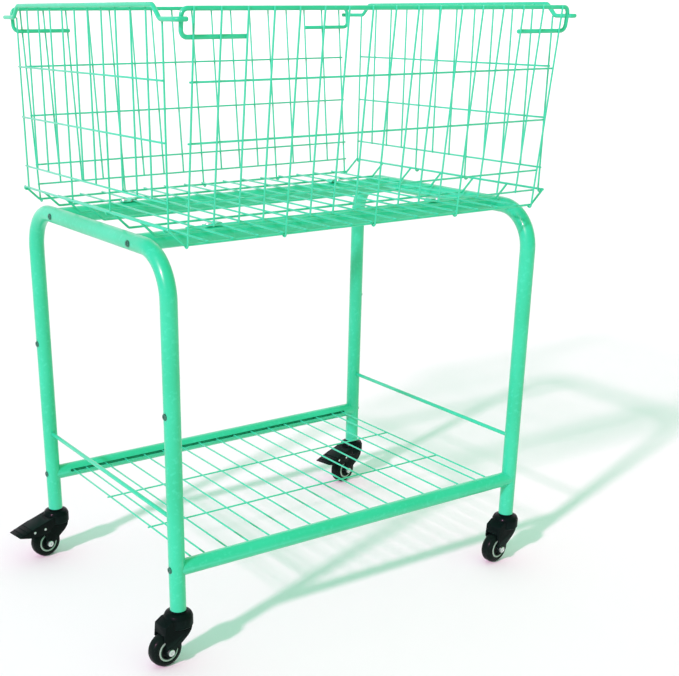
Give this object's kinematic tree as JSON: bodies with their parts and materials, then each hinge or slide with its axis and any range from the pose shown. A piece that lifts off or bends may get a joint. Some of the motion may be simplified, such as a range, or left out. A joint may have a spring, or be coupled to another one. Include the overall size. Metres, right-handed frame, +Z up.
{
  "type": "rolling laundry basket cart",
  "caption": "Rolling laundry cart: a large wire basket with fold-in long sides on a bent tube frame, over a wire shelf, on swivel casters with brakes at the back.",
  "frame": {"origin": "on the floor, under the middle of the four legs", "axes": "+X along the length, from the left end to the right end; +Y from the front, which is the long side opposite the braked casters, to the back; +Z up from the floor"},
  "size_m": [0.7174, 0.5276, 0.8577],
  "materials": {
    "mint_paint": "glossy mint green powder coat",
    "black_housing": "black plastic with a low sheen",
    "black_rubber": "dull black rubber",
    "grey_core": "pale grey plastic",
    "bright_zinc": "bright zinc plating"
  },
  "bodies": {
    "frame": {"basket_end_left": "mint_paint", "basket_end_right": "mint_paint", "basket_floor": "mint_paint", "caster_stem_back_left": "black_housing", "caster_stem_back_right": "black_housing", "caster_stem_front_left": "black_housing", "caster_stem_front_right": "black_housing", "clip_screw_back_left": "bright_zinc", "clip_screw_back_right": "bright_zinc", "clip_screw_front_left": "bright_zinc", "clip_screw_front_right": "bright_zinc", "end_frame_left": "mint_paint", "end_frame_right": "mint_paint", "floor_clip_back_left": "mint_paint", "floor_clip_back_right": "mint_paint", "floor_clip_front_left": "mint_paint", "floor_clip_front_right": "mint_paint", "guard_rod_left": "mint_paint", "guard_rod_right": "mint_paint", "lower_rail_back": "mint_paint", "lower_rail_front": "mint_paint", "lower_rail_screw_back_left": "bright_zinc", "lower_rail_screw_back_right": "bright_zinc", "lower_rail_screw_front_left": "bright_zinc", "lower_rail_screw_front_right": "bright_zinc", "shelf_grille": "mint_paint", "spare_station_screw_back_left": "bright_zinc", "spare_station_screw_back_right": "bright_zinc", "spare_station_screw_front_left": "bright_zinc", "spare_station_screw_front_right": "bright_zinc", "upper_rail_back": "mint_paint", "upper_rail_front": "mint_paint", "upper_rail_screw_back_left": "bright_zinc", "upper_rail_screw_back_right": "bright_zinc", "upper_rail_screw_front_left": "bright_zinc", "upper_rail_screw_front_right": "bright_zinc"},
    "side_front": {"basket_side_front": "mint_paint"},
    "side_back": {"basket_side_back": "mint_paint"},
    "swivel_front_left": {"caster_fork_front_left": "black_housing", "axle_bolt_front_left": "bright_zinc", "axle_nut_front_left": "bright_zinc"},
    "wheel_front_left": {"caster_tyre_front_left": "black_rubber", "wheel_core_front_left": "grey_core"},
    "swivel_front_right": {"caster_fork_front_right": "black_housing", "axle_bolt_front_right": "bright_zinc", "axle_nut_front_right": "bright_zinc"},
    "wheel_front_right": {"caster_tyre_front_right": "black_rubber", "wheel_core_front_right": "grey_core"},
    "swivel_back_left": {"caster_fork_back_left": "black_housing", "axle_bolt_back_left": "bright_zinc", "axle_nut_back_left": "bright_zinc"},
    "wheel_back_left": {"caster_tyre_back_left": "black_rubber", "wheel_core_back_left": "grey_core"},
    "swivel_back_right": {"caster_fork_back_right": "black_housing", "axle_bolt_back_right": "bright_zinc", "axle_nut_back_right": "bright_zinc"},
    "wheel_back_right": {"caster_tyre_back_right": "black_rubber", "wheel_core_back_right": "grey_core"},
    "pedal_back_left": {"brake_pedal_back_left": "black_housing"},
    "pedal_back_right": {"brake_pedal_back_right": "black_housing"}
  },
  "joints": [
    {"name": "side_front_fold", "type": "hinge", "parent": "frame", "child": "side_front", "pos_m": [0, -0.226, 0.58165], "axis": [-1, 0, 0], "range_deg": [0, 84.5]},
    {"name": "side_back_fold", "type": "hinge", "parent": "frame", "child": "side_back", "pos_m": [0, 0.226, 0.58165], "axis": [1, 0, 0], "range_deg": [0, 77.5]},
    {"name": "swivel_front_left", "type": "hinge", "parent": "frame", "child": "swivel_front_left", "pos_m": [-0.307, -0.211, 0.079], "axis": [0, 0, 1], "continuous": true},
    {"name": "wheel_spin_front_left", "type": "hinge", "parent": "swivel_front_left", "child": "wheel_front_left", "pos_m": [-0.33087, -0.21351, 0.025], "axis": [0.1045, -0.9945, 0], "continuous": true},
    {"name": "swivel_front_right", "type": "hinge", "parent": "frame", "child": "swivel_front_right", "pos_m": [0.307, -0.211, 0.079], "axis": [0, 0, 1], "continuous": true},
    {"name": "wheel_spin_front_right", "type": "hinge", "parent": "swivel_front_right", "child": "wheel_front_right", "pos_m": [0.2833, -0.21475, 0.025], "axis": [0.1564, -0.9877, 0], "continuous": true},
    {"name": "swivel_back_left", "type": "hinge", "parent": "frame", "child": "swivel_back_left", "pos_m": [-0.307, 0.211, 0.079], "axis": [0, 0, 1], "continuous": true},
    {"name": "wheel_spin_back_left", "type": "hinge", "parent": "swivel_back_left", "child": "wheel_back_left", "pos_m": [-0.33071, 0.20725, 0.025], "axis": [0.1564, -0.9877, 0], "continuous": true},
    {"name": "brake_back_left", "type": "hinge", "parent": "swivel_back_left", "child": "pedal_back_left", "pos_m": [-0.33861, 0.20599, 0.054], "axis": [0.1564, -0.9877, 0], "range_deg": [0, 20]},
    {"name": "swivel_back_right", "type": "hinge", "parent": "frame", "child": "swivel_back_right", "pos_m": [0.307, 0.211, 0.079], "axis": [0, 0, 1], "continuous": true},
    {"name": "wheel_spin_back_right", "type": "hinge", "parent": "swivel_back_right", "child": "wheel_back_right", "pos_m": [0.28344, 0.20642, 0.025], "axis": [0.1908, -0.9816, 0], "continuous": true},
    {"name": "brake_back_right", "type": "hinge", "parent": "swivel_back_right", "child": "pedal_back_right", "pos_m": [0.27559, 0.20489, 0.054], "axis": [0.1908, -0.9816, 0], "range_deg": [0, 20]}
  ]
}
